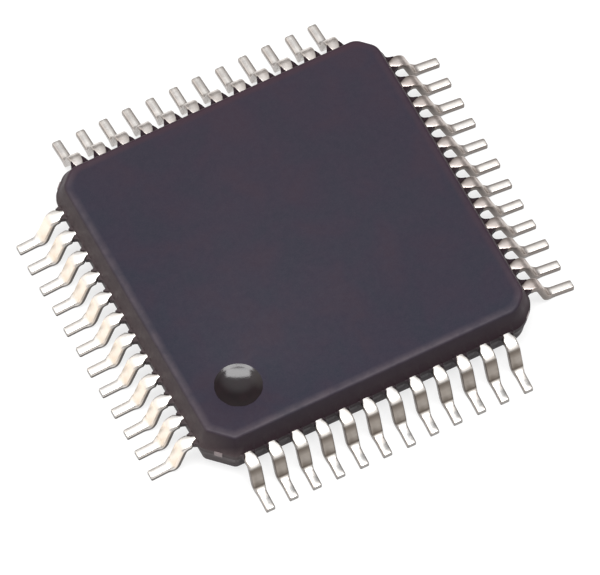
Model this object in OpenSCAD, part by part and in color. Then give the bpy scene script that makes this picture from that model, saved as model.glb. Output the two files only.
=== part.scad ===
// Quad flat pack: a moulded semiconductor package with twelve gull-wing leads on
// each of its four sides. Units are millimetres.
// Frame: origin at the centre of the seating plane, +Z up out of the marked face.
// The index dimple and lead 1 are at the (-X, -Y) corner, and the leads are numbered
// counter-clockwise seen from above: 1-12 along -Y, 13-24 along +X, 25-36 along +Y
// and 37-48 along -X.

/* [Moulded body] */
// Side of the square body at the parting line
body_size = 7.0; // [6.9:0.05:7.1]
// Thickness of the moulding
body_thick = 1.05; // [1.0:0.01:1.05]
// Gap between the seating plane and the underside of the body
standoff = 0.15; // [0.05:0.01:0.15]
// Draft of the sides above the leads, in degrees from vertical
top_draft = 18; // [11:0.5:19]
// Draft of the sides below the leads, in degrees from vertical
bottom_draft = 11; // [8:0.5:13]
// Corner cut at the index corner, measured along each side
index_cut = 0.50; // [0.44:0.02:0.56]
// Corner cut at the other three corners
corner_cut = 0.40; // [0.36:0.02:0.48]
// Radius that softens the rim of the top and bottom faces
rim_r = 0.07; // [0.04:0.01:0.08]

/* [Index dimple] */
// Distance of the dimple centre from the body centre, along each side
dimple_pos = 2.36; // [2.2:0.02:2.5]
// Diameter of the dimple at the top face
dimple_d = 0.92; // [0.7:0.02:1.0]
// Depth of the dimple
dimple_depth = 0.11; // [0.06:0.01:0.12]

/* [Leads] */
// Distance from lead to lead
pitch = 0.5; // [0.49:0.01:0.5]
// Overall span from foot end to foot end
lead_span = 9.0; // [8.9:0.02:9.1]
// Width of a lead where it leaves the body
root_w = 0.18; // [0.16:0.01:0.2]
// Width of a lead at its shoulder and riser
shoulder_w = 0.26; // [0.24:0.01:0.27]
// Width of a foot
foot_w = 0.19; // [0.17:0.01:0.22]
// Thickness of the lead frame with its plating
frame_t = 0.127; // [0.12:0.001:0.13]
// Flat shoulder between the body and the upper bend
shoulder = 0.18; // [0.15:0.01:0.22]
// Centre-line radius of the upper bend
bend_r = 0.14; // [0.12:0.01:0.16]
// Centre-line radius of the lower bend
foot_r = 0.20; // [0.15:0.01:0.22]
// Lean of the riser from vertical, in degrees
riser_lean = 20; // [10:1:24]

/* [Inside the body] */
// Side of the square die pad
pad_size = 4.1; // [3.8:0.05:4.2]
// Drop of the die pad below the leads
pad_drop = 0.19; // [0.15:0.01:0.2]
// Side of the silicon die
die_size = 3.0; // [2.6:0.05:3.2]
// Thickness of the silicon die
die_t = 0.25; // [0.2:0.01:0.26]
// Thickness of the die-attach layer
glue_t = 0.025; // [0.02:0.005:0.03]
// Distance of the inner lead tips from the body centre
tip_at = 2.45; // [2.4:0.01:2.5]
// Width of a lead at its inner tip
tip_w = 0.18; // [0.15:0.01:0.19]
// Width of a bond wire
wire_w = 0.025; // [0.02:0.005:0.03]
// Height of the wire loops above the die
loop_h = 0.13; // [0.1:0.01:0.14]

/* [Hidden] */
per_side = 12;
sides = 4;
function two(n) = n < 10 ? str("0", n) : str(n);
far = 8;                                  // reaches past everything
half = body_size / 2;
z_bot = standoff;
z_top = standoff + body_thick;
z_mid = standoff + body_thick / 2;        // centre plane of the lead frame
z_fb = z_mid - frame_t / 2;               // underside of the lead frame
z_ft = z_mid + frame_t / 2;               // upper side of the lead frame
knee = half - 0.32;                       // where the inner fingers turn towards their tips
foot_end = lead_span / 2;
riser = 90 - riser_lean;                  // bend angle of both bends
fall = z_mid - frame_t / 2;               // drop of the centre line, shoulder to foot
riser_l = (fall - (bend_r + foot_r) * (1 - cos(riser))) / sin(riser);
tip_scale = 0.72;                         // inner tips are closer together than the leads
z_pad = z_fb - pad_drop;                  // underside of the die pad
z_glue = z_pad + frame_t;
z_die = z_glue + glue_t;
z_die_top = z_die + die_t;
wire_die_at = die_size / 2 - 0.08;        // ball bonds, from the body centre
wire_tip_at = tip_at + 0.12;              // stitch bonds, from the body centre
wire_die_scale = (wire_die_at - 0.1) / (pitch * 5.5);

// -------------------------------------------------------------- lead frame

// Centre position along its side of lead k of that side, 0 to 11
function lead_x(k) = (k - (per_side - 1) / 2) * pitch;

// Quarter turn that takes the -Y side to side s
module on_side(s) { rotate([0, 0, 90 * s]) children(); }

// Points of a bend of radius r round (cx, cz), from angle a0 to a1
bend_steps = 10;
function arc(cx, cz, r, a0, a1) =
    [for (i = [0:bend_steps]) let (a = a0 + (a1 - a0) * i / bend_steps)
        [cx + r * cos(a), cz + r * sin(a)]];

// Side profile of a lead as one outline: u runs outward, v is height
module gull_profile() {
    u1 = half + shoulder;                       // upper bend starts
    v1 = z_mid - bend_r;                        // height of its centre
    u4 = u1 + (bend_r + foot_r) * sin(riser) + riser_l * cos(riser);   // foot starts
    v4 = frame_t / 2 + foot_r;                  // height of the lower bend's centre
    h = frame_t / 2;
    polygon(concat(
        [[tip_at, z_ft]],
        arc(u1, v1, bend_r + h, 90, 90 - riser),
        arc(u4, v4, foot_r - h, 270 - riser, 270),
        [[foot_end, frame_t], [foot_end, 0]],
        arc(u4, v4, foot_r + h, 270, 270 - riser),
        arc(u1, v1, bend_r - h, 90 - riser, 90),
        [[tip_at, z_fb]]));
}

// Widths of a lead outside the body, from its far end inward: [distance from the body, width]
ENDS = [[foot_end - half + 0.2, foot_w], [0.60, foot_w], [0.44, shoulder_w],
        [0.11, shoulder_w], [0.02, root_w]];
// The same as far as the flat shoulder reaches
STUB = [[0.14, shoulder_w], [0.11, shoulder_w], [0.02, root_w]];

// One edge of a lead seen from above, on the -Y side
function edge(x, sgn, ends) = concat(
    [for (e = ends) [x + sgn * e[1] / 2, -(half + e[0])]],
    [[x + sgn * root_w / 2, -knee], [x * tip_scale + sgn * tip_w / 2, -tip_at]]);
function backward(v) = [for (i = [len(v) - 1:-1:0]) v[i]];
function lead_plan(k, ends) = concat(edge(lead_x(k), -1, ends), backward(edge(lead_x(k), 1, ends)));

module flat_run(k) {
    translate([0, 0, z_fb]) linear_extrude(height = frame_t) polygon(lead_plan(k, STUB));
}

module lead(n) {
    s = floor((n - 1) / per_side);
    k = (n - 1) % per_side;
    reach = 1.2;                                // wide enough for the slanting inner finger
    color([0.80, 0.79, 0.77])
    on_side(s) intersection() {
        translate([lead_x(k) + reach, 0, 0]) rotate([0, 0, -90]) rotate([90, 0, 0])
            linear_extrude(height = 2 * reach) gull_profile();
        translate([0, 0, -0.5]) linear_extrude(height = 2) polygon(lead_plan(k, ENDS));
    }
}

// Side profile of one tie bar: d runs outward along the diagonal, v is height
module tie_profile(d_end) {
    d0 = pad_size / 2 * sqrt(2) - 0.12;
    d1 = d0 + 0.26;
    d2 = d1 + 0.22;
    polygon([[d0, z_pad], [d1, z_pad], [d2, z_fb], [d_end, z_fb],
             [d_end, z_ft], [d2, z_ft], [d1, z_pad + frame_t], [d0, z_pad + frame_t]]);
}

// Distance from the centre to a corner cut of the body at the parting line
function corner_at(c) = (2 * half - c) / sqrt(2);
tie_w = 0.16;
tie_proud = 0.015;                        // trimmed ends stand this far out of the corner
function cut_of(s) = s == 0 ? index_cut : corner_cut;

module tie_bar(s) {
    rotate([0, 0, 225 + 90 * s]) rotate([90, 0, 0])
        translate([0, 0, -tie_w / 2]) linear_extrude(height = tie_w)
            tie_profile(corner_at(cut_of(s)) + tie_proud);
}

module die_pad() {
    color([0.72, 0.50, 0.36]) union() {
        translate([-pad_size / 2, -pad_size / 2, z_pad]) cube([pad_size, pad_size, frame_t]);
        for (s = [0:sides - 1]) tie_bar(s);
    }
}

// -------------------------------------------------------------- chip and wires

module die_attach() {
    color([0.55, 0.55, 0.52]) translate([-die_size / 2, -die_size / 2, z_glue])
        cube([die_size, die_size, glue_t]);
}

module silicon_die() {
    color([0.30, 0.32, 0.38]) translate([-die_size / 2, -die_size / 2, z_die])
        cube([die_size, die_size, die_t]);
}

// One looped wire of the -Y side, from a bond on the die to the finger's tip
module wire(k) {
    xd = lead_x(k) * wire_die_scale;
    xt = lead_x(k) * (tip_scale + (1 - tip_scale) * 0.12 / (knee - tip_at));
    yd = -wire_die_at;
    yt = -wire_tip_at;
    l = sqrt(pow(xt - xd, 2) + pow(yt - yd, 2));
    w = wire_w;
    z0 = z_die_top;
    z1 = z_die_top + loop_h;
    z2 = z_ft;
    translate([xd, yd, 0]) rotate([0, 0, atan2(yt - yd, xt - xd)]) rotate([90, 0, 0])
        translate([0, 0, -w / 2]) linear_extrude(height = w)
            polygon([[-w, z0], [w, z0], [w, z0 + 0.015], [w / 2, z0 + 0.015],
                     [w / 2, z1 - 1.6 * w], [1.8 * w, z1 - w], [0.22 * l, z1 - w],
                     [0.86 * l, z2 + 2.6 * w], [0.93 * l, z2], [l + w, z2],
                     [l + w, z2 + 0.4 * w], [l, z2 + 0.6 * w],
                     [0.88 * l, z2 + 3.4 * w], [0.24 * l, z1],
                     [1.4 * w, z1], [-w / 2, z1 - 1.4 * w],
                     [-w / 2, z0 + 0.015], [-w, z0 + 0.015]]);
}

module bond_wires() {
    color([0.86, 0.68, 0.30])
    for (s = [0:sides - 1]) on_side(s) for (k = [0:per_side - 1]) wire(k);
}

// -------------------------------------------------------------- moulded body

// Outline of the moulding in a plane that holds the Z axis: r outward, v height,
// for a wall whose parting-line distance from the axis is w
function wall(w) =
    let (tu = tan(top_draft), tl = tan(bottom_draft),
         ru = w - (z_top - z_ft) * tu, rl = w - (z_fb - z_bot) * tl,
         au = 90 - top_draft, al = 90 - bottom_draft,
         // centres of the rim rounds
         cu = ru - rim_r * tan(au / 2), cl = rl - rim_r * tan(al / 2), n = 4)
    concat([[-far, z_bot], [cl, z_bot]],
           [for (i = [1:n]) [cl + rim_r * sin(al * i / n),
                             z_bot + rim_r * (1 - cos(al * i / n))]],
           [[w, z_fb], [w, z_ft]],
           [for (i = [n:-1:1]) [cu + rim_r * sin(au * i / n),
                                z_top - rim_r * (1 - cos(au * i / n))]],
           [[cu, z_top], [-far, z_top]]);

// Everything inside the wall that faces direction a at distance w
module inside_wall(a, w) {
    rotate([0, 0, a]) rotate([90, 0, 0]) translate([0, 0, -far])
        linear_extrude(height = 2 * far) polygon(wall(w));
}

// A wall that softens the edge between a side and a corner cut
module soft_edge(s, c, turn) {
    ca = 225 + 90 * s;
    // the edge point where side and cut meet, in the frame of the cut
    e = [corner_at(c), c / sqrt(2)];
    a = 22.5;
    inside_wall(ca + turn * a, e[0] * cos(a) + e[1] * sin(a) - 0.014);
}

module body_block() {
    intersection() {
        inside_wall(0, half);
        inside_wall(90, half);
        inside_wall(180, half);
        inside_wall(270, half);
        for_corner(0, index_cut);
        for_corner(1, corner_cut);
        for_corner(2, corner_cut);
        for_corner(3, corner_cut);
    }
}

module for_corner(s, c) {
    intersection() {
        inside_wall(225 + 90 * s, corner_at(c));
        soft_edge(s, c, -1);
        soft_edge(s, c, 1);
    }
}

// Thin webs of resin that the dam bar leaves on both flanks of every lead
web = 0.09;
web_w = 0.032;
module webs() {
    w = shoulder_w / 2;
    for (s = [0:sides - 1]) on_side(s) for (k = [0:per_side - 1])
        translate([lead_x(k), -half, z_fb]) linear_extrude(height = frame_t)
            polygon([[-w - web_w, 0.05], [-w - web_w, 0], [-w - web_w * 0.35, -web * 0.45], [-w, -web],
                     [w, -web], [w + web_w * 0.35, -web * 0.45], [w + web_w, 0], [w + web_w, 0.05]]);
}

// Round dimple, a shallow ball-nosed hollow cut in the top face
module dimple() {
    r = (pow(dimple_d / 2, 2) + pow(dimple_depth, 2)) / (2 * dimple_depth);
    translate([-dimple_pos, -dimple_pos, z_top - dimple_depth + r]) sphere(r = r, $fn = 128);
}

module moulded_body() {
    color([0.26, 0.25, 0.29]) difference() {
        union() {
            body_block();
            webs();
        }
        dimple();
        for (s = [0:sides - 1]) on_side(s) for (k = [0:per_side - 1]) flat_run(k);
        die_pad();
        die_attach();
        silicon_die();
        bond_wires();
    }
}

// -------------------------------------------------------------- output

for (n = [1:per_side * sides])
    lead(n);
moulded_body();
die_pad();
die_attach();
silicon_die();
bond_wires();
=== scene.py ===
import math
import random

import bmesh
import bpy
from mathutils import Matrix, Vector
from mathutils.geometry import delaunay_2d_cdt


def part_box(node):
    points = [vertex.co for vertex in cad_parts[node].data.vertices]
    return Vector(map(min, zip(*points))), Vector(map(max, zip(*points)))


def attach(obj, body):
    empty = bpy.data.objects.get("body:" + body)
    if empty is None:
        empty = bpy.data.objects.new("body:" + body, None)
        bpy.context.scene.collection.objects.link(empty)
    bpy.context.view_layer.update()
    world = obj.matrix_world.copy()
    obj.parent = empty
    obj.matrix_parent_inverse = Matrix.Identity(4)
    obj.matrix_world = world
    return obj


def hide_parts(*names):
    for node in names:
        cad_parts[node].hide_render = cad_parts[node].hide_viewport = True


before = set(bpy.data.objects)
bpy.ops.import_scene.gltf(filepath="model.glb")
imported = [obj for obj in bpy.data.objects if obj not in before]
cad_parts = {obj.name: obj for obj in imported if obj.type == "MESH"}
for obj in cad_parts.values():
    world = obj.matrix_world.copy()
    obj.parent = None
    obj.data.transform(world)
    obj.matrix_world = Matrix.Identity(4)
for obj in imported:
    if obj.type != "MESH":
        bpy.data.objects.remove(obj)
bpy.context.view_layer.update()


MM = 0.001
rnd = random.Random(48)

# ------------------------------------------------------------------ sizes, mm, from the frame
body_lo, body_hi = (Vector(v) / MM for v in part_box("moulded_body"))
lead_lo, lead_hi = (Vector(v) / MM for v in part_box("lead_01"))
die_lo, die_hi = (Vector(v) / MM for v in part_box("silicon_die"))
wire_lo, wire_hi = (Vector(v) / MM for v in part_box("bond_wires"))

FRAME_T = 0.127                       # lead thickness
LEAD_W = 0.22
PITCH = 0.5
PER_SIDE = 12
HALF = 3.5                            # body half size at the parting line
Z_TOP = body_hi.z
Z_BOT = body_lo.z
Z_FT = lead_hi.z                      # upper side of the lead frame
Z_FB = Z_FT - FRAME_T
Z_MID = (Z_FT + Z_FB) / 2
FOOT_END = -lead_lo.y
TIP_AT = -lead_hi.y
ROOT_W = 0.18                         # at the body, before it widens to the bend
BEND_W = 0.256
FOOT_W = 0.19
SHOULDER = 0.18
BEND_R = 0.14
FOOT_R = 0.20
RISER = math.radians(70)
KNEE = HALF - 0.32
TIP_SCALE = 0.72
TIP_W = 0.18
CUTS = (0.50, 0.38, 0.40, 0.40)       # corner cuts at (-,-), (+,-), (+,+), (-,+)
ROUND = (0.16, 0.68, 0.50, 0.50)      # share of each cut taken up by the rounding of its two ends
TOP_DRAFT = math.radians(18)
LOW_DRAFT = math.radians(11)
RIM_R = 0.07
DIMPLE = (-2.36, -2.36)
DIMPLE_R = 0.46
DIMPLE_D = 0.11

scene = bpy.context.scene
stage_col = scene.collection


def lead_x(k):
    return (k - (PER_SIDE - 1) / 2) * PITCH


# ------------------------------------------------------------------ node helpers
class Mat:
    """A small builder for procedural materials."""

    def __init__(self, name):
        self.m = bpy.data.materials.new(name)
        self.m.use_nodes = True
        self.t = self.m.node_tree
        self.t.nodes.clear()
        self.out = self.t.nodes.new("ShaderNodeOutputMaterial")
        self.b = self.t.nodes.new("ShaderNodeBsdfPrincipled")
        self.t.links.new(self.b.outputs[0], self.out.inputs["Surface"])
        tc = self.t.nodes.new("ShaderNodeTexCoord")
        mp = self.t.nodes.new("ShaderNodeMapping")
        mp.inputs["Scale"].default_value = (1000, 1000, 1000)   # object space in mm
        self.t.links.new(tc.outputs["Object"], mp.inputs["Vector"])
        self.mm = mp.outputs["Vector"]

    def node(self, kind, **kw):
        n = self.t.nodes.new(kind)
        for k, v in kw.items():
            setattr(n, k, v)
        return n

    def link(self, a, b):
        self.t.links.new(a, b)

    def noise(self, scale, detail=4.0, rough=0.5, vec=None, w=None, distort=0.0):
        n = self.node("ShaderNodeTexNoise")
        n.inputs["Scale"].default_value = scale
        n.inputs["Detail"].default_value = detail
        n.inputs["Roughness"].default_value = rough
        n.inputs["Distortion"].default_value = distort
        if w is not None:
            n.noise_dimensions = "4D"
            if isinstance(w, (int, float)):
                n.inputs["W"].default_value = w
            else:
                self.link(w, n.inputs["W"])
        self.link(vec or self.mm, n.inputs["Vector"])
        return n.outputs["Fac"]

    def ramp(self, fac, stops, interp="LINEAR"):
        n = self.node("ShaderNodeValToRGB")
        n.color_ramp.interpolation = interp
        el = n.color_ramp.elements
        while len(el) < len(stops):
            el.new(0.5)
        for e, (p, c) in zip(el, stops):
            e.position = p
            e.color = (*c, 1) if len(c) == 3 else c
        self.link(fac, n.inputs["Fac"])
        return n.outputs["Color"]

    def span(self, fac, a0, a1, b0, b1):
        n = self.node("ShaderNodeMapRange")
        n.inputs["From Min"].default_value = a0
        n.inputs["From Max"].default_value = a1
        n.inputs["To Min"].default_value = b0
        n.inputs["To Max"].default_value = b1
        self.link(fac, n.inputs["Value"])
        return n.outputs["Result"]

    def math(self, op, a, b=None):
        n = self.node("ShaderNodeMath", operation=op)
        for i, v in enumerate((a, b)):
            if v is None:
                continue
            if isinstance(v, (int, float)):
                n.inputs[i].default_value = v
            else:
                self.link(v, n.inputs[i])
        return n.outputs[0]

    def mix(self, fac, a, b, blend="MIX"):
        n = self.node("ShaderNodeMix", data_type="RGBA", blend_type=blend)
        for i, v in ((0, fac), (6, a), (7, b)):
            if isinstance(v, (int, float)):
                n.inputs[i].default_value = v
            elif isinstance(v, tuple):
                n.inputs[i].default_value = (*v, 1)
            else:
                self.link(v, n.inputs[i])
        return n.outputs[2]

    def bump(self, height, strength, dist, normal=None):
        n = self.node("ShaderNodeBump")
        n.inputs["Strength"].default_value = strength
        n.inputs["Distance"].default_value = dist
        self.link(height, n.inputs["Height"])
        if normal is not None:
            self.link(normal, n.inputs["Normal"])
        return n.outputs["Normal"]

    def set(self, **kw):
        names = {"color": "Base Color", "rough": "Roughness", "metal": "Metallic",
                 "normal": "Normal", "spec": "Specular IOR Level", "ior": "IOR"}
        for k, v in kw.items():
            s = self.b.inputs[names[k]]
            if isinstance(v, (int, float)):
                s.default_value = v
            elif isinstance(v, tuple):
                s.default_value = (*v, 1)
            else:
                self.link(v, s)


def attribute(m, name):
    n = m.node("ShaderNodeAttribute", attribute_name=name)
    n.attribute_type = "GEOMETRY"
    return n.outputs["Fac"]


# ------------------------------------------------------------------ materials
def mould_material(name="mould_compound_matte", gloss=0.19):
    m = Mat(name)
    cloud = m.noise(1.15, 3.0, 0.55, distort=0.4)
    fleck = m.noise(9.0, 3.0, 0.6)
    fine = m.noise(42.0, 2.0, 0.6)
    col = m.ramp(cloud, [(0.36, (0.0125, 0.0130, 0.0240)), (0.52, (0.0155, 0.0124, 0.0243)),
                         (0.66, (0.0192, 0.0128, 0.0236))])
    col = m.mix(m.span(fleck, 0.35, 0.68, 0.0, 0.30), col, (0.0225, 0.0190, 0.032))
    col = m.mix(m.span(fine, 0.40, 0.70, 0.0, 0.25), col, (0.031, 0.027, 0.039))
    # painted shade: the walls are painted near-black, darker than the top, as if in shade
    wall_shade_mask = attribute(m, "wall_shade")
    col = m.mix(m.math("MULTIPLY", wall_shade_mask, 0.92), col, (0.0125, 0.0045, 0.0070))
    # painted light: the -X wall is painted paler, as if lit, and a painted highlight band runs along the parting line
    # of the cut corner
    painted_wall_light_mask = m.math("MULTIPLY", attribute(m, "painted_wall_light"), m.span(fleck, 0.30, 0.65, 0.70, 1.0))
    col = m.mix(painted_wall_light_mask, col, (0.050, 0.037, 0.039))
    col = m.mix(m.math("MULTIPLY", attribute(m, "brown"), 0.8), col, (0.030, 0.0130, 0.0205))
    # painted highlight: the rim round is painted paler on the -Y and -X sides, which face the light
    rim = attribute(m, "rim")
    rim_highlight = m.math("MULTIPLY", rim, m.span(m.noise(3.4, 3.0, 0.6), 0.35, 0.62, 0.45, 1.0))
    col = m.mix(m.math("MULTIPLY", rim_highlight, 0.78), col, (0.068, 0.054, 0.064))
    rough = m.span(m.noise(6.0, 3.0, 0.6), 0.3, 0.7, 0.52, 0.62)
    rough = m.math("SUBTRACT", rough, m.math("MULTIPLY", wall_shade_mask, 0.06))
    rough = m.math("SUBTRACT", rough, m.math("MULTIPLY", rim, 0.10))
    n1 = m.bump(m.noise(55.0, 2.0, 0.6), 0.30, 0.0000045)
    n2 = m.bump(m.noise(18.0, 3.0, 0.65), 0.22, 0.000006, n1)
    m.set(color=col, rough=rough, normal=n2, spec=gloss)
    return m.m


def polished_material():
    """The index dimple, left smooth by the end of the mould's pin."""
    m = Mat("mould_compound_polished")
    tone = m.noise(5.0, 3.0, 0.6)
    fine = m.noise(34.0, 2.0, 0.6)
    col = m.ramp(tone, [(0.35, (0.0050, 0.0025, 0.0035)), (0.65, (0.0080, 0.0035, 0.0050))])
    rough = m.span(fine, 0.3, 0.7, 0.11, 0.16)
    m.set(color=col, rough=rough, normal=m.bump(fine, 0.20, 0.0000025), spec=0.42)
    return m.m


def tin_material():
    m = Mat("tin_plating")
    info = m.node("ShaderNodeObjectInfo")
    w = m.math("MULTIPLY", info.outputs["Random"], 37.0)
    tone = m.noise(3.2, 3.0, 0.6, w=w)
    blotch = m.noise(11.0, 4.0, 0.65, w=w, distort=0.6)
    grain = m.noise(60.0, 2.0, 0.6, w=w)
    col = m.ramp(tone, [(0.30, (0.84, 0.82, 0.81)), (0.50, (0.88, 0.85, 0.81)),
                        (0.70, (0.87, 0.81, 0.76))])
    col = m.mix(m.span(blotch, 0.50, 0.72, 0.0, 0.45), col, (0.60, 0.59, 0.58))
    col = m.mix(m.span(grain, 0.45, 0.75, 0.0, 0.20), col, (0.68, 0.66, 0.64))
    # painted shade on the shoulder's top, set by side, strongest on the +X side
    shoulder_shade = attribute(m, "shoulder_shade")
    col = m.mix(m.math("MULTIPLY", shoulder_shade, m.span(tone, 0.3, 0.7, 0.75, 1.0)), col, (0.46, 0.385, 0.36))
    # painted shade: a grey patch on the foot's top, a darker reflection painted on, strongest on the -Y side
    foot_shade = attribute(m, "foot_shade")
    foot_shade_patch = m.math("MULTIPLY", foot_shade, m.span(m.noise(7.5, 3.0, 0.6, w=w, distort=0.5), 0.30, 0.50, 0.45, 1.0))
    col = m.mix(foot_shade_patch, col, (0.25, 0.255, 0.255))
    # painted shade towards the long edges of the lead's top
    edge = attribute(m, "edge")
    col = m.mix(edge, col, (0.30, 0.255, 0.235))
    # painted shade on the risers, dark brown with a lighter middle, turned into a painted warm peach reflection on
    # the -X side
    riser = attribute(m, "riser")
    warm_reflection = attribute(m, "warm_reflection")
    riser_light_and_shade = m.mix(m.span(blotch, 0.40, 0.66, 0.0, 0.24), (0.195, 0.158, 0.128), (0.28, 0.25, 0.21))
    riser_light_and_shade = m.mix(warm_reflection, riser_light_and_shade, m.mix(m.span(tone, 0.35, 0.65, 0.0, 1.0), (0.98, 0.87, 0.75), (0.94, 0.80, 0.66)))
    col = m.mix(riser, col, riser_light_and_shade)
    # painted shade on the sheared sides of the lead
    side = attribute(m, "side")
    col = m.mix(side, col, (0.165, 0.140, 0.128))
    toe = attribute(m, "toe")
    col = m.mix(m.math("MULTIPLY", toe, 0.85), col, (0.22, 0.21, 0.20))
    # painted shade: dark bands at the riser's ends and on the lead's lower half
    col = m.mix(attribute(m, "shade_band"), col, (0.058, 0.045, 0.036))
    rough = m.span(blotch, 0.35, 0.70, 0.30, 0.42)
    rough = m.math("ADD", rough, m.math("MULTIPLY", foot_shade_patch, 0.16))
    n1 = m.bump(grain, 0.30, 0.0000035)
    n2 = m.bump(blotch, 0.22, 0.0000055, n1)
    m.set(color=col, rough=rough, metal=1.0, normal=n2)
    return m.m


def frame_material():
    m = Mat("lead_frame_copper")
    tone = m.noise(4.0, 3.0, 0.6)
    streak = m.noise(30.0, 2.0, 0.6)
    col = m.ramp(tone, [(0.35, (0.66, 0.50, 0.42)), (0.65, (0.74, 0.60, 0.52))])
    col = m.mix(m.span(streak, 0.4, 0.7, 0.0, 0.3), col, (0.52, 0.42, 0.37))
    reach = m.node("ShaderNodeVectorMath", operation="LENGTH")
    m.link(m.mm, reach.inputs[0])
    cut = m.span(reach.outputs["Value"], 4.55, 4.60, 0.0, 0.9)      # trimmed ends of the tie bars, gone dull
    col = m.mix(cut, col, (0.17, 0.145, 0.155))
    m.set(color=col, rough=m.span(streak, 0.3, 0.7, 0.34, 0.50), metal=1.0,
          normal=m.bump(streak, 0.25, 0.000004))
    return m.m


def adhesive_material():
    m = Mat("die_attach_epoxy")
    grain = m.noise(24.0, 4.0, 0.7)
    col = m.ramp(grain, [(0.35, (0.42, 0.42, 0.41)), (0.65, (0.60, 0.60, 0.58))])
    m.set(color=col, rough=m.span(grain, 0.3, 0.7, 0.45, 0.6), metal=0.3,
          normal=m.bump(grain, 0.4, 0.000006))
    return m.m


def silicon_material():
    m = Mat("silicon_circuit")
    v = m.node("ShaderNodeTexVoronoi", distance="CHEBYCHEV")
    v.inputs["Scale"].default_value = 5.0
    m.link(m.mm, v.inputs["Vector"])
    br = m.node("ShaderNodeTexBrick")
    br.inputs["Scale"].default_value = 9.0
    m.link(m.mm, br.inputs["Vector"])
    col = m.mix(0.5, v.outputs["Color"], br.outputs["Color"])
    col = m.mix(0.82, col, (0.10, 0.12, 0.17))
    m.set(color=col, rough=m.span(v.outputs["Distance"], 0.0, 0.3, 0.12, 0.25), metal=0.35)
    return m.m


def gold_material():
    m = Mat("gold_wire")
    g = m.noise(80.0, 2.0, 0.5)
    m.set(color=m.ramp(g, [(0.3, (0.83, 0.62, 0.25)), (0.7, (0.90, 0.70, 0.32))]),
          rough=m.span(g, 0.3, 0.7, 0.18, 0.30), metal=1.0)
    return m.m


MOULD = mould_material()
MOULD_SIDE = mould_material("mould_compound_side", 0.20)       # drawn faces above the parting line
MOULD_UNDER = mould_material("mould_compound_under", 0.09)     # and below it
MOULD_FLASH = mould_material("mould_compound_flash", 0.16)     # thin flash beside the leads
POLISHED = polished_material()
TIN = tin_material()
COPPER = frame_material()
GLUE = adhesive_material()
SILICON = silicon_material()
GOLD = gold_material()


def dress(obj, *mats):
    """Gives an object its materials; faces keep their slot numbers."""
    slots = [0] * len(obj.data.polygons)
    obj.data.polygons.foreach_get("material_index", slots)
    obj.data.materials.clear()
    for mat in mats:
        obj.data.materials.append(mat)
    if len(mats) > 1:
        obj.data.polygons.foreach_set("material_index", slots)


def new_object(name, bm, mat, smooth_angle=38.0):
    mesh = bpy.data.meshes.new(name)
    bm.normal_update()
    bm.to_mesh(mesh)
    bm.free()
    mesh.polygons.foreach_set("use_smooth", [True] * len(mesh.polygons))
    mesh.set_sharp_from_angle(angle=math.radians(smooth_angle))
    mesh.update()
    o = bpy.data.objects.new(name, mesh)
    stage_col.objects.link(o)
    dress(o, *(mat if isinstance(mat, tuple) else (mat,)))
    return o


# ------------------------------------------------------------------ leads
def ease(v, a, b):
    """0 at a, 1 at b, smooth between them."""
    t = min(1.0, max(0.0, (v - a) / (b - a)))
    return t * t * (3 - 2 * t)


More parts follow.
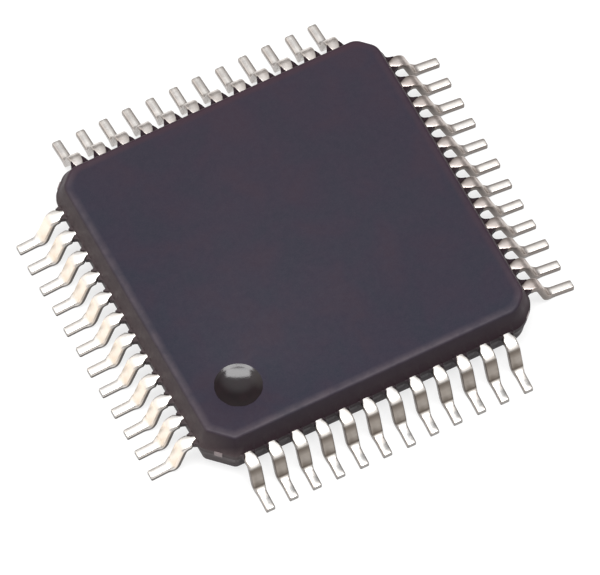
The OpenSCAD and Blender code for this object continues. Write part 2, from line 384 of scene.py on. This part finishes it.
def lead_stations(jit):
    """Centre line from the inner tip to the toe on the -Y side, one ring each:
    (share of the tip's inward shift, u, z, tilt, width, riser, foot)."""
    h = FRAME_T / 2
    th = RISER + jit["th"]
    droop = math.radians(5.0) + jit["droop"]
    flat = math.radians(3.0) + jit["flat"]
    toe = FOOT_END - jit["toe"]
    r1, r2 = BEND_R + jit["r1"], FOOT_R + jit["r2"]
    # (length, tilt at its start, tilt at its end, rings) of the shoulder and both bends
    head = [(0.045, 0.0, droop, 3), (SHOULDER - 0.045 + jit["sh"], droop, droop, 3),
            (r1 * (th - droop), droop, th, 14)]
    tail = [(r2 * (th - flat), th, flat, 14)]

    def run(parts):
        u = z = 0.0
        pts = []
        for length, t0, t1, rings in parts:
            n = rings * 4
            for i in range(n):
                t = t0 + (t1 - t0) * (i + 0.5) / n
                u += length / n * math.cos(t)
                z -= length / n * math.sin(t)
                if i % 4 == 3:
                    pts.append((u, z, t0 + (t1 - t0) * (i + 1) / n))
        return pts

    a, b = run(head), run(tail)
    du = toe - HALF - a[-1][0] - b[-1][0]
    dz = Z_MID - h * math.cos(flat) + a[-1][1] + b[-1][1]
    # the straight riser and the foot make up what is left
    det = math.cos(th) * math.sin(flat) - math.sin(th) * math.cos(flat)
    rise = (du * math.sin(flat) - dz * math.cos(flat)) / det
    foot = (math.cos(th) * dz - math.sin(th) * du) / det
    out = [(1.0, TIP_AT, Z_MID, 0.0, TIP_W, 0.0, 0.0), (0.02, KNEE, Z_MID, 0.0, LEAD_W, 0.0, 0.0),
           (0.0, KNEE + 0.05, Z_MID, 0.0, LEAD_W, 0.0, 0.0), (0.0, HALF - 0.06, Z_MID, 0.0, jit["plan"][0], 0.0, 0.0),
           (0.0, HALF, Z_MID, 0.0, jit["plan"][0], 0.0, 0.0)]

    root_w, bend_w, neck, near, far = jit["plan"]

    def width(u):
        d = u - HALF
        w = root_w + (bend_w - root_w) * ease(d, 0.0, neck)
        w += 2 * 0.006 * jit["stub"] * (ease(d, 0.095, 0.110) - ease(d, 0.135, 0.150))
        return w + (FOOT_W - w) * ease(d, near, far)

    for u, z, t in a:
        out.append((0.0, HALF + u, Z_MID + z, t, width(HALF + u), ease(math.degrees(t), 44, 60), 0.0))
    u0, z0 = HALF + a[-1][0], Z_MID + a[-1][1]
    for f in (0.33, 0.67, 1.0):
        u, z = u0 + rise * f * math.cos(th), z0 - rise * f * math.sin(th)
        out.append((0.0, u, z, th, width(u), 1.0 - 0.13 * math.sin(math.pi * f * 0.9), 0.0))
    u0, z0 = u, z
    for du_, dz_, t in b:
        out.append((0.0, u0 + du_, z0 + dz_, t, width(u0 + du_), ease(math.degrees(t), 36, 56),
                    1.0 - ease(math.degrees(t), 8, 40)))
    u0, z0 = u0 + b[-1][0], z0 + b[-1][1]
    foot -= 0.03
    for f in (0.15, 0.30, 0.45, 0.60, 0.75, 0.88, 1.0):
        u = u0 + foot * f * math.cos(flat)
        out.append((0.0, u, z0 - foot * f * math.sin(flat), flat, width(u), 0.0, 1.0 + 0.5 * math.sin(math.pi * f ** 1.5) ** 0.8))
    return out, toe, flat


CROWN = 0.0015


def section(w, t, rt, rb, n=3):
    """Rounded rectangle: a along the width, b through the thickness, from +a +b round."""
    pts = []
    for cx, cz, r, a0 in ((w / 2, t / 2, rt, 0), (-w / 2, t / 2, rt, 90),
                          (-w / 2, -t / 2, rb, 180), (w / 2, -t / 2, rb, 270)):
        sx, sz = (1 if cx > 0 else -1), (1 if cz > 0 else -1)
        for i in range(n + 1):
            a = math.radians(a0 + 90 * i / n)
            pts.append((cx - sx * r + r * math.cos(a), cz - sz * r + r * math.sin(a)))
        if cx > 0 and cz > 0:
            pts.append((0.0, t / 2 + CROWN))
        elif sx * sz < 0:                   # a point part way down each sheared side
            pts.append((sx * w / 2, -0.05 * t))
    return pts


# by side: painted riser shade with its warm painted reflection, painted shade on the shoulder, a painted shade patch
# on the foot, painted shade on the sheared sides
SIDE_LOOK = ((0.90, 0.0, 0.0, 1.0, 0.88), (0.50, 0.25, 0.80, 0.20, 0.92),
             (0.35, 0.30, 0.30, 0.60, 0.62), (0.85, 1.0, 0.0, 0.0, 0.86))


# plan by side: width at the root and at the bend, length of the neck, start and end of the narrowing to the foot
PLAN = ((ROOT_W, BEND_W, 0.115, 0.40, 0.62), (0.150, 0.262, 0.120, 0.42, 0.62),
        (0.165, 0.262, 0.125, 0.40, 0.62), (0.115, 0.276, 0.150, 0.47, 0.62))
# by side: painted shade bands at the riser's ends, painted shade on the lower part of the sheared sides, share of the
# painted side shade on their upper part
BAND = (0.48, 0.12, 0.0, 0.0)
LOWER = (0.30, 0.35, 0.0, 0.95)
WRAP = (0.85, 0.90, 1.0, 0.25)
YAW = (-0.022, -0.046, 0.022, 0.015)             # sideways set of the toes, by side
REACH = (-0.012, 0.032, 0.034, 0.0)              # extra reach of the toes, by side
# by side: painted shade towards the edges of the shoulder (+, -) and of the foot (+, -)
EDGE_SHADE = ((0.10, 0.10, 0.20, 0.20), (0.85, 0.35, 0.60, 0.45), (0.40, 0.40, 0.50, 0.50), (0.0, 0.10, 0.10, 0.10))


def make_lead(number):
    s, k = divmod(number - 1, PER_SIDE)
    turn = Matrix.Rotation(math.radians(90 * s), 3, "Z")
    jit = {"sh": rnd.uniform(-0.007, 0.007), "th": math.radians(rnd.uniform(-1.8, 1.8)),
           "r1": rnd.uniform(-0.008, 0.008), "r2": rnd.uniform(-0.012, 0.012),
           "droop": math.radians(rnd.uniform(-1.2, 1.2)), "flat": math.radians(rnd.uniform(-1.0, 1.0)),
           "toe": rnd.uniform(0.002, 0.028) - REACH[s], "stub": rnd.uniform(0.3, 1.0), "plan": PLAN[s]}
    yaw = rnd.uniform(-0.008, 0.008) + YAW[s]
    riser_light_and_shade, warm_reflection, shoulder_shade, foot_shade, side_shade = SIDE_LOOK[s]
    stations, toe, flat = lead_stations(jit)
    x0 = lead_x(k)
    bm = bmesh.new()
    lay = {n: bm.verts.layers.float.new(n) for n in ("side", "riser", "shoulder_shade", "foot_shade", "edge", "toe", "warm_reflection", "shade_band")}
    rings = []

    wrap = WRAP[s]

    def ring(x, u, z, tilt, w, rt, rb, riser, foot, toe_v, shrink=0.0):
        row = []
        riser_end = min(1.0, abs(riser - 0.87) / 0.13)
        edge = (w - 2 * shrink) / 2
        for a, b in section(w - 2 * shrink, FRAME_T - 2 * shrink, rt, rb):
            p = Vector((x + a, -(u + b * math.sin(tilt)), z + b * math.cos(tilt)))
            v = bm.verts.new((turn @ p) * MM)
            # painted shade on the sheared sides
            v[lay["side"]] = side_shade * ease(abs(a), edge - rt * 0.60, edge - rt * 0.05) * (wrap if b > 0 else 1.0)
            turned = math.degrees(tilt)
            # painted shade bands at the riser's ends and on the lower half
            ends = BAND[s] * (ease(turned, 46, 58) * riser_end if b > 0 else 0.0)
            v[lay["shade_band"]] = max(ends, LOWER[s] if b < 0 else 0.0)
            # painted shade and painted warm reflection on the riser
            v[lay["riser"]] = riser * riser_light_and_shade * (1.0 if b > 0 else 0.6)
            # painted shade on the shoulder, by side
            v[lay["shoulder_shade"]] = shoulder_shade * (1 - ease(foot, 0.2, 0.8)) if b > 0 else 0.0
            # painted shade patch on the foot
            v[lay["foot_shade"]] = foot_shade * (0.0 if a < 0 else 0.75 if a == 0 else 1.0 if a < 0.07 else 0.45) * ease(foot, 1.15, 1.45) if b > 0 else 0.0
            v[lay["toe"]] = toe_v
            # painted shade towards the edges of the top
            if abs(a) > 0.02 and b > 0:
                i = 0 if a > 0 else 1
                f = ease(foot, 0.2, 0.9)
                v[lay["edge"]] = (EDGE_SHADE[s][i] * (1 - f) + EDGE_SHADE[s][2 + i] * f) * (1 - 0.6 * riser)
            v[lay["warm_reflection"]] = warm_reflection
            row.append(v)
        rings.append(row)

    for share, u, z, tilt, w, riser, foot in stations:
        x = x0 + (x0 * TIP_SCALE - x0) * share
        if u > HALF + SHOULDER:
            x += yaw * (u - HALF - SHOULDER) / (toe - HALF - SHOULDER)
        ring(x, u, z, tilt, w, 0.040, 0.012, riser, foot, 0.0)
    # toe: sheared end with its corners eased
    u, z = stations[-1][1], stations[-1][2]
    for d, sh, rt, tv in ((0.016, 0.0030, 0.038, 0.0), (0.024, 0.0085, 0.034, 0.6), (0.0285, 0.016, 0.028, 1.0),
                          (0.030, 0.026, 0.022, 1.0)):
        ring(x0 + yaw, u + d * math.cos(flat), z - d * math.sin(flat), flat, FOOT_W, rt, 0.010, 0.0, 1.0 - tv, tv, sh)
    for a, b in zip(rings, rings[1:]):
        for i in range(len(a)):
            j = (i + 1) % len(a)
            bm.faces.new((a[i], a[j], b[j], b[i]))
    bm.faces.new(rings[-1])
    bm.faces.new(list(reversed(rings[0])))
    bmesh.ops.recalc_face_normals(bm, faces=bm.faces)
    o = new_object(f"lead_{number:02d}_plated", bm, TIN, 60)
    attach(o, "root")
    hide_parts(f"lead_{number:02d}")
    return o


# ------------------------------------------------------------------ moulded body
WEB_D = (1.0, 0.75, 0.50, 0.28, 0.11)     # distances from the lead flank, in web widths
WEB_W = 0.246                                  # width of a lead where its webs end


# by side: least and most length, least and most width
WEB_SIZE = ((0.050, 0.090, 0.040, 0.070), (0.120, 0.160, 0.100, 0.120),
            (0.150, 0.195, 0.100, 0.120), (0.075, 0.110, 0.055, 0.085))
WEB_FLAT = (0.05, 0.10, 0.30, 0.10)


def hollow(d, flat):
    """Reach of a web at share d of its width: full over the flat share, then the corner left by an oval opening."""
    t = (1 - d) / (1 - flat)
    return 1 - math.sqrt(1 - t * t) if t < 1 else 1.0


def flank_webs():
    """For every side, 12 leads of (left length, right length, left width, right width)."""
    return [[(rnd.uniform(a, b), rnd.uniform(a, b), rnd.uniform(c, d), rnd.uniform(c, d))
             for _ in range(PER_SIDE)] for a, b, c, d in WEB_SIZE]


WEBS = flank_webs()


TAN_Q = math.tan(math.radians(22.5))


def tangent(c, share, inset):
    """Length that a cut's end rounding takes off the cut and off the side."""
    cut = (c - inset * (2 - math.sqrt(2))) * math.sqrt(2)
    return cut / 2 * min(0.97, share * (1 + 0.6 * inset))


def loop_at(inset, z, webs=False):
    """One closed outline of the moulding, counter-clockwise from above, always with the same count of points."""
    pts = []
    h = HALF - inset

    def corner_len(c):      # half length of a side up to the corner's vertex
        return (2 * HALF - c) - inset * math.sqrt(2) - h

    for s in range(4):
        turn = math.radians(90 * s)
        cos_t, sin_t = math.cos(turn), math.sin(turn)
        # side s runs from corner s to corner s+1
        c0, c1 = CUTS[s], CUTS[(s + 1) % 4]
        t0, t1 = tangent(c0, ROUND[s], inset), tangent(c1, ROUND[(s + 1) % 4], inset)
        r0, r1 = t0 / TAN_Q, t1 / TAN_Q
        x_a = -corner_len(c0) + t0
        x_b = corner_len(c1) - t1
        ref_a = -(HALF - c0) + tangent(c0, ROUND[s], 0.0)
        ref_b = (HALF - c1) - tangent(c1, ROUND[(s + 1) % 4], 0.0)
        row = []
        # arc that ends corner s, coming off its cut on to this side: centre above the side
        cx, cy = x_a, -h + r0
        for i in range(9):
            a = math.radians(225 + 45 * i / 8)
            row.append((cx + r0 * math.cos(a), cy + r0 * math.sin(a)))
        for k in range(PER_SIDE):
            lx = lead_x(k)
            ll, lr, wl, wr = WEBS[s][k]
            # the outermost webs stop short of the corner roundings
            wl = min(wl, max(0.008, lx - WEB_W / 2 - ref_a - 0.006))
            wr = min(wr, max(0.008, ref_b - lx - WEB_W / 2 - 0.006))
            flat = WEB_FLAT[s]
            share = [flat + (1 - flat) * v for v in WEB_D] + [0.0]
            line = [(lx - WEB_W / 2 - wl * d, ll * hollow(d, flat)) for d in share]
            line += [(lx - WEB_W / 2 + 0.012, ll * 0.96), (lx - PLAN[s][0] / 2 + 0.010, 0.0)]
            line += [(lx + PLAN[s][0] / 2 - 0.010, 0.0), (lx + WEB_W / 2 - 0.012, lr * 0.96)]
            line += [(lx + WEB_W / 2 + wr * d, lr * hollow(d, flat)) for d in reversed(share)]
            for x, out in line:
                f = (x - ref_a) / (ref_b - ref_a)
                row.append((x_a + (x_b - x_a) * f if not webs else x,
                            -h - (out if webs else 0.0)))
        cx, cy = x_b, -h + r1
        for i in range(9):
            a = math.radians(270 + 45 * i / 8)
            row.append((cx + r1 * math.cos(a), cy + r1 * math.sin(a)))
        for x, y in row:
            pts.append((x * cos_t - y * sin_t, x * sin_t + y * cos_t, z))
    return pts


FAR_LEAN = 0.055


def make_body():
    bm = bmesh.new()
    wall_shade = bm.verts.layers.float.new("wall_shade")
    rim_lay = bm.verts.layers.float.new("rim")
    painted_wall_light = bm.verts.layers.float.new("painted_wall_light")
    brown = bm.verts.layers.float.new("brown")
    n = 6
    tu, tl = math.tan(TOP_DRAFT), math.tan(LOW_DRAFT)
    iu = (Z_TOP - Z_FT) * tu
    il = (Z_FB - Z_BOT) * tl
    au, al = math.pi / 2 - TOP_DRAFT, math.pi / 2 - LOW_DRAFT
    cu = iu + RIM_R * math.tan(au / 2)          # inset of the rim round's start on the top face
    cl = il + RIM_R * math.tan(al / 2)
    step = 0.006
    # (inset, height, painted wall shade, painted rim highlight)
    levels = [(cl + 0.05, Z_BOT, 0, 0), (cl, Z_BOT, 0, 0)]
    for i in range(1, n + 1):
        a = al * i / n
        levels.append((cl - RIM_R * math.sin(a), Z_BOT + RIM_R * (1 - math.cos(a)), i / n, 0))
    z1 = levels[-1][1]
    for f in (0.5,):
        z = z1 + (Z_FB - z1) * f
        levels.append((step + (Z_FB - z) * tl, z, 1, 0))
    levels.append((step, Z_FB, 1, 0))
    levels.append(("web", Z_FB + 0.005, 1, 0))
    levels.append(("web", Z_FT - 0.005, 1, 0))
    levels.append((step, Z_FT, 1, 0))
    arc = []
    for i in range(n, 0, -1):
        a = au * i / n
        arc.append((cu - RIM_R * math.sin(a), Z_TOP - RIM_R * (1 - math.cos(a)), 0.7 * (i / n) ** 1.5,
                    (0, 0.78, 0.66, 0.48, 0.28, 0.12, 0.0)[i]))
    for f in (0.5,):
        z = Z_FT + (arc[0][1] - Z_FT) * f
        levels.append((step + (z - Z_FT) * tu, z, 0.9, 0))
    levels += arc
    levels += [(cu, Z_TOP, 0, 0.88), (cu + 0.045, Z_TOP, 0, 0.60), (cu + 0.12, Z_TOP, 0, 0)]
    rows = []
    for inset, z, fl, rim_highlight in levels:
        web = inset == "web"
        row = []
        for p in loop_at(0.0 if web else inset, z, web):
            # the far wall leans in a little more than the others
            lean = FAR_LEAN * min(1.0, max(0.0, (z - Z_FT) / (Z_TOP - Z_FT))) if p[1] > 0 else 0.0
            p = (p[0], p[1] * (1 - lean / HALF), p[2])
            v = bm.verts.new(Vector(p) * MM)
            v[brown] = 0.0 if z < Z_FT + 0.2 else max(ease(p[1], 2.9, 3.3), 0.7 * ease(p[0], 3.0, 3.35)) * (
                0.35 if inset > cu + 0.1 else 1.0)
            # painted shade on the walls
            v[wall_shade] = fl
            # painted highlight on the rim on the -Y and -X sides, and the -X wall painted paler, as if lit
            v[rim_lay] = rim_highlight * (0.12 + 0.88 * ease(max(-p[1] - 0.9 * p[0], -p[0] - 0.9 * p[1]), -1.6, 2.2))
            v[painted_wall_light] = fl * ease(-p[0], 2.9, 3.15) * ease(abs(p[1]), 3.35, 2.9)
            # a painted highlight band at the parting line on the cut corner beside the dimple
            if 0.36 < z <= Z_FT:
                v[painted_wall_light] = max(v[painted_wall_light], ease(-p[0] - p[1], 2 * HALF - CUTS[0] - 0.20, 2 * HALF - CUTS[0] - 0.08))
            row.append(v)
        rows.append(row)
    for at, (a, b) in enumerate(zip(rows, rows[1:])):
        z = (levels[at][1] + levels[at + 1][1]) / 2
        flash = "web" in (levels[at][0], levels[at + 1][0])
        slot = 4 if flash else 3 if z < Z_FB and at > 3 else 2 if Z_FB < z < arc[1][1] else 0
        for i in range(len(a)):
            j = (i + 1) % len(a)
            bm.faces.new((a[i], a[j], b[j], b[i])).material_index = slot
    bm.faces.new(list(reversed(rows[0])))
    # top face with the dimple's rim as a hole
    seg = 72
    circle = [(DIMPLE[0] + (DIMPLE_R + 0.022) * math.cos(2 * math.pi * i / seg),
               DIMPLE[1] + (DIMPLE_R + 0.022) * math.sin(2 * math.pi * i / seg)) for i in range(seg)]
    outer = [(v.co.x / MM, v.co.y / MM) for v in rows[-1]]
    flat = [Vector(p) for p in outer + circle]
    m = len(outer)
    edges = [(i, (i + 1) % m) for i in range(m)] + [(m + i, m + (i + 1) % seg) for i in range(seg)]
    co, _, faces, orig, _, _ = delaunay_2d_cdt(flat, edges, [], 0, 1e-9)
    rim = [bm.verts.new(Vector((x, y, Z_TOP)) * MM) for x, y in circle]
    pool = rows[-1] + rim
    lookup = [pool[o[0]] for o in orig]
    inside = (HALF - cu - 0.05)
    for f in faces:
        cx = sum(co[i].x for i in f) / len(f)
        cy = sum(co[i].y for i in f) / len(f)
        if math.hypot(cx - DIMPLE[0], cy - DIMPLE[1]) < DIMPLE_R * 0.995:
            continue
        if not point_in(cx, cy, outer):
            continue
        bm.faces.new([lookup[i] for i in f])
    # the dimple: a small rolled lip, then a shallow bowl
    r_ball = (DIMPLE_R ** 2 + DIMPLE_D ** 2) / (2 * DIMPLE_D)
    zc = Z_TOP - DIMPLE_D + r_ball
    prof = [(DIMPLE_R + 0.013, -0.0009), (DIMPLE_R + 0.004, -0.0034), (DIMPLE_R - 0.005, -0.0077)]
    prof = [(r, Z_TOP + d) for r, d in prof]
    for i in range(1, 19):
        r = (DIMPLE_R - 0.014) * (1 - i / 19)
        prof.append((r, zc - math.sqrt(r_ball ** 2 - r ** 2)))
    last = rim
    for j, (r, z) in enumerate(prof):
        row = []
        for i in range(seg):
            a = 2 * math.pi * i / seg
            v = bm.verts.new(Vector((DIMPLE[0] + r * math.cos(a), DIMPLE[1] + r * math.sin(a), z)) * MM)
            row.append(v)
        for i in range(seg):
            k = (i + 1) % seg
            face = bm.faces.new((last[i], last[k], row[k], row[i]))
            face.material_index = 1 if j > 1 else 0
        last = row
    v = bm.verts.new(Vector((DIMPLE[0], DIMPLE[1], zc - r_ball)) * MM)
    for i in range(seg):
        bm.faces.new((last[i], last[(i + 1) % seg], v)).material_index = 1
    bmesh.ops.recalc_face_normals(bm, faces=bm.faces)
    o = new_object("moulded_body_shell", bm, (MOULD, POLISHED, MOULD_SIDE, MOULD_UNDER, MOULD_FLASH), 40)
    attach(o, "root")
    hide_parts("moulded_body")
    return o


def point_in(x, y, loop):
    hit = False
    j = len(loop) - 1
    for i in range(len(loop)):
        xi, yi = loop[i]
        xj, yj = loop[j]
        if (yi > y) != (yj > y) and x < (xj - xi) * (y - yi) / (yj - yi) + xi:
            hit = not hit
        j = i
    return hit


# ------------------------------------------------------------------ bond wires
def tube(bm, pts, r, sides=8):
    rings = []
    for i, p in enumerate(pts):
        a = pts[max(i - 1, 0)]
        b = pts[min(i + 1, len(pts) - 1)]
        t = (b - a).normalized()
        side = t.cross(Vector((0, 0, 1)))
        if side.length < 1e-6:
            side = Vector((1, 0, 0))
        side.normalize()
        up = side.cross(t)
        rings.append([bm.verts.new((p + side * (r * math.cos(q)) + up * (r * math.sin(q))) * MM)
                      for q in (2 * math.pi * k / sides for k in range(sides))])
    for a, b in zip(rings, rings[1:]):
        for i in range(sides):
            j = (i + 1) % sides
            bm.faces.new((a[i], a[j], b[j], b[i]))
    bm.faces.new(rings[-1])
    bm.faces.new(list(reversed(rings[0])))


def make_wires():
    bm = bmesh.new()
    ball_at = die_hi.x - 0.08
    scale = (ball_at - 0.1) / (PITCH * 5.5)
    tip_y = TIP_AT + 0.12
    z0 = die_hi.z
    z1 = wire_hi.z
    r = 0.0118
    for s in range(4):
        turn = Matrix.Rotation(math.radians(90 * s), 3, "Z")
        for k in range(PER_SIDE):
            xd = lead_x(k) * scale
            xt = lead_x(k) * (TIP_SCALE + (1 - TIP_SCALE) * 0.12 / (KNEE - TIP_AT))
            a = Vector((xd, -ball_at, 0))
            d = Vector((xt - xd, -(tip_y - ball_at), 0))
            prof = [(0.0, z0 + 0.012), (0.0, z1 - 0.045), (0.012, z1 - 0.022), (0.035, z1 - 0.013),
                    (0.10, z1 - 0.0125), (0.23, z1 - 0.0127), (0.38, z1 - 0.040),
                    (0.62, z1 - 0.105), (0.85, Z_FT + 0.060), (0.92, Z_FT + 0.019), (0.97, Z_FT + 0.0125)]
            pts = [turn @ (a + d * f + Vector((0, 0, z))) for f, z in prof]
            tube(bm, pts, r)
            # ball bond
            c = turn @ Vector((xd, -ball_at, z0 + 0.0085))
            m = Matrix.Translation(c * MM) @ Matrix.Diagonal((1, 1, 0.34, 1))
            bmesh.ops.create_uvsphere(bm, u_segments=12, v_segments=6, radius=0.024 * MM, matrix=m)
    bmesh.ops.recalc_face_normals(bm, faces=bm.faces)
    o = new_object("bond_wires_round", bm, GOLD, 60)
    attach(o, "root")
    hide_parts("bond_wires")
    return o


LEADS = [make_lead(i) for i in range(1, PER_SIDE * 4 + 1)]
BODY = make_body()
WIRES = make_wires()
dress(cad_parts["die_pad"], COPPER)
dress(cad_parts["die_attach"], GLUE)
dress(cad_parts["silicon_die"], SILICON)

# ------------------------------------------------------------------ studio
FLOOR_R = 0.6


def make_floor():
    mesh = bpy.data.meshes.new("floor")
    bm = bmesh.new()
    bmesh.ops.create_circle(bm, cap_ends=True, segments=96, radius=FLOOR_R)
    bm.to_mesh(mesh)
    bm.free()
    o = bpy.data.objects.new("floor", mesh)
    stage_col.objects.link(o)
    m = Mat("pale_floor")
    tone = m.noise(0.02, 2.0, 0.5)
    m.set(color=m.ramp(tone, [(0.3, (0.225, 0.225, 0.225)), (0.7, (0.235, 0.235, 0.235))]), rough=0.9, spec=0.1)
    m.b.inputs["Emission Color"].default_value = (1.0, 1.0, 1.0, 1.0)
    m.b.inputs["Emission Strength"].default_value = 0.76
    dress(o, m.m)
    return o


make_floor()


world = bpy.data.worlds.new("studio")
scene.world = world
world.use_nodes = True
wt = world.node_tree
bg = wt.nodes["Background"]
w_tc = wt.nodes.new("ShaderNodeTexCoord")
w_sep = wt.nodes.new("ShaderNodeSeparateXYZ")
w_ramp = wt.nodes.new("ShaderNodeValToRGB")
wt.links.new(w_tc.outputs["Generated"], w_sep.inputs[0])
wt.links.new(w_sep.outputs["Z"], w_ramp.inputs["Fac"])


def panel(direction, inner, outer, strength, colour, under):
    """A soft glow of the dome round a direction, full within inner degrees and gone at outer."""
    d = Vector(direction).normalized()
    dot = wt.nodes.new("ShaderNodeVectorMath")
    dot.operation = "DOT_PRODUCT"
    dot.inputs[1].default_value = d
    wt.links.new(w_tc.outputs["Generated"], dot.inputs[0])
    span = wt.nodes.new("ShaderNodeMapRange")
    span.interpolation_type = "SMOOTHSTEP"
    span.inputs["From Min"].default_value = math.cos(math.radians(outer))
    span.inputs["From Max"].default_value = math.cos(math.radians(inner))
    span.inputs["To Max"].default_value = strength
    wt.links.new(dot.outputs["Value"], span.inputs["Value"])
    add = wt.nodes.new("ShaderNodeMix")
    add.data_type = "RGBA"
    add.blend_type = "ADD"
    add.inputs[7].default_value = (*colour, 1)
    wt.links.new(span.outputs["Result"], add.inputs[0])
    wt.links.new(under, add.inputs[6])
    return add.outputs[2]


sky = panel((-0.75, 0.43, 0.50), 16, 40, 0.95, (1.0, 0.96, 0.90), w_ramp.outputs["Color"])
sky = panel((0.15, -0.70, 0.70), 16, 34, 0.70, (1.0, 0.99, 0.97), sky)
wt.links.new(sky, bg.inputs["Color"])
w_ramp.color_ramp.interpolation = "EASE"
w_el = w_ramp.color_ramp.elements
w_el[0].position, w_el[0].color = 0.66, (0.40, 0.385, 0.375, 1)
w_el[1].position, w_el[1].color = 0.93, (1.30, 1.30, 1.30, 1)
bg.inputs["Strength"].default_value = 0.95

def overhead(name, height, half_w, half_d, toward, power, turn, color=(1, 1, 1)):
    """A soft box that faces straight down, its long side across the view."""
    d = bpy.data.lights.new(name, "AREA")
    d.shape = "RECTANGLE"
    d.size, d.size_y = 2 * half_w, 2 * half_d
    d.energy = power
    d.color = color
    o = bpy.data.objects.new(name, d)
    c, s_ = math.cos(turn), math.sin(turn)
    o.matrix_world = Matrix(((c, -s_, 0, s_ * toward), (s_, c, 0, -c * toward), (0, 0, 1, height),
                             (0, 0, 0, 1)))
    stage_col.objects.link(o)
    return o


overhead("key_overhead", 0.40, 0.190, 0.072, 0.045, 1.75, math.radians(-26.22))

# ------------------------------------------------------------------ camera
AZ, EL, ROLL = (math.radians(v) for v in (-26.22, 61.04, -1.17))
DIST = 0.300
F_PX = 52.54                                    # pixels per mm at the centre
PX, PY = 293.1, 268.3                           # where the row origin falls
back = Vector((math.sin(AZ) * math.cos(EL), -math.cos(AZ) * math.cos(EL), math.sin(EL)))
right = (-back).cross(Vector((0, 0, 1))).normalized()
up = right.cross(-back)
R = math.cos(ROLL) * right + math.sin(ROLL) * up
U = -math.sin(ROLL) * right + math.cos(ROLL) * up
cam = bpy.data.cameras.new("camera")
cam.sensor_fit = "HORIZONTAL"
cam.sensor_width = 36.0
cam.lens = F_PX * (DIST / MM) * 36.0 / 600.0
cam.clip_start = 0.01
cam.clip_end = 5.0
eye = bpy.data.objects.new("camera", cam)
stage_col.objects.link(eye)
place = back * DIST + R * ((300.0 - PX) / F_PX * MM) - U * ((287.5 - PY) / F_PX * MM)
eye.matrix_world = Matrix(((R.x, U.x, back.x, place.x), (R.y, U.y, back.y, place.y),
                           (R.z, U.z, back.z, place.z), (0, 0, 0, 1)))
scene.camera = eye
scene.view_settings.view_transform = "Standard"
scene.view_settings.look = "None"
